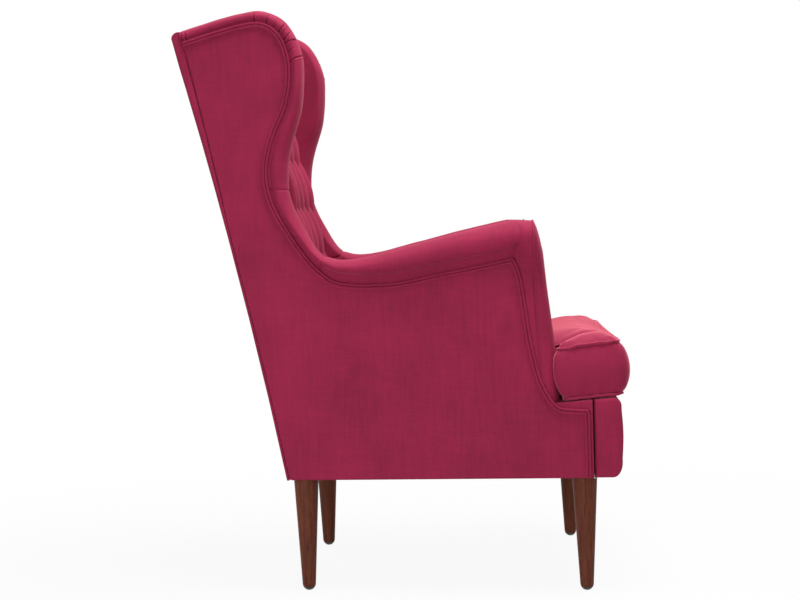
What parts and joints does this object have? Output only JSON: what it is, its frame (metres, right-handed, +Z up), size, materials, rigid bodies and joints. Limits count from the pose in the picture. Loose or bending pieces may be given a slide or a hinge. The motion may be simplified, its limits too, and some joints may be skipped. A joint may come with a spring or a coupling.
{
  "type": "wing armchair",
  "caption": "High-backed velvet wing armchair with a tufted back, a loose T-shaped seat cushion and round tapered wooden legs.",
  "frame": {"origin": "on the floor, at the middle of the chair's width and depth", "axes": "+X towards the sitter's left, -Y to the front, +Z up"},
  "size_m": [0.7178, 0.8224, 1.082],
  "materials": {
    "velvet": "short-pile cotton velvet, wine red",
    "cushion_velvet": "short-pile cotton velvet, wine red",
    "beech": "sawn, unfinished",
    "walnut": "stained walnut brown, satin lacquer",
    "steel": "bright drawn wire and zinc-plated steel",
    "glide": "dark nylon",
    "lining": "black non-woven cloth"
  },
  "bodies": {
    "chair": {"outer_side_left": "velvet", "outer_side_right": "velvet", "side_welt_left": "velvet", "side_welt_right": "velvet", "wing_roll_left": "velvet", "wing_roll_right": "velvet", "arm_roll_left": "velvet", "arm_roll_right": "velvet", "arm_front_left": "velvet", "arm_front_right": "velvet", "front_corner_left": "velvet", "front_corner_right": "velvet", "inside_wing_left": "velvet", "inside_wing_right": "velvet", "inside_arm_left": "velvet", "inside_arm_right": "velvet", "outer_back": "velvet", "inside_back": "velvet", "front_border": "velvet", "front_rail": "beech", "rear_rail": "beech", "top_rail": "beech", "lower_back_rail": "beech", "side_rail_left": "beech", "side_rail_right": "beech", "arm_post_left": "beech", "arm_post_right": "beech", "arm_rail_left": "beech", "arm_rail_right": "beech", "back_post_left": "beech", "back_post_right": "beech", "wing_board_left": "beech", "wing_board_right": "beech", "front_leg_block_left": "beech", "front_leg_block_right": "beech", "rear_leg_block_left": "beech", "rear_leg_block_right": "beech", "leg_front_left": "walnut", "leg_front_right": "walnut", "leg_rear_left": "walnut", "leg_rear_right": "walnut", "seat_spring_1": "steel", "seat_spring_2": "steel", "seat_spring_3": "steel", "seat_spring_4": "steel", "leg_bolt_front_left": "steel", "leg_bolt_front_right": "steel", "leg_bolt_rear_left": "steel", "leg_bolt_rear_right": "steel", "glide_front_left": "glide", "glide_front_right": "glide", "glide_rear_left": "glide", "glide_rear_right": "glide", "dust_cover": "lining", "seat_deck": "lining", "back_lining": "lining"},
    "cushion": {"seat_cushion": "cushion_velvet", "cushion_welt_top": "cushion_velvet", "cushion_welt_bottom": "cushion_velvet"},
    "zip": {"zip_slider": "steel"}
  },
  "joints": [
    {"name": "cushion_lift", "type": "slide", "parent": "chair", "child": "cushion", "axis": [0, 0, 1], "range_m": [0, 0.4]},
    {"name": "zip_slide", "type": "slide", "parent": "cushion", "child": "zip", "axis": [-1, 0, 0], "range_m": [0, 0.34]}
  ]
}
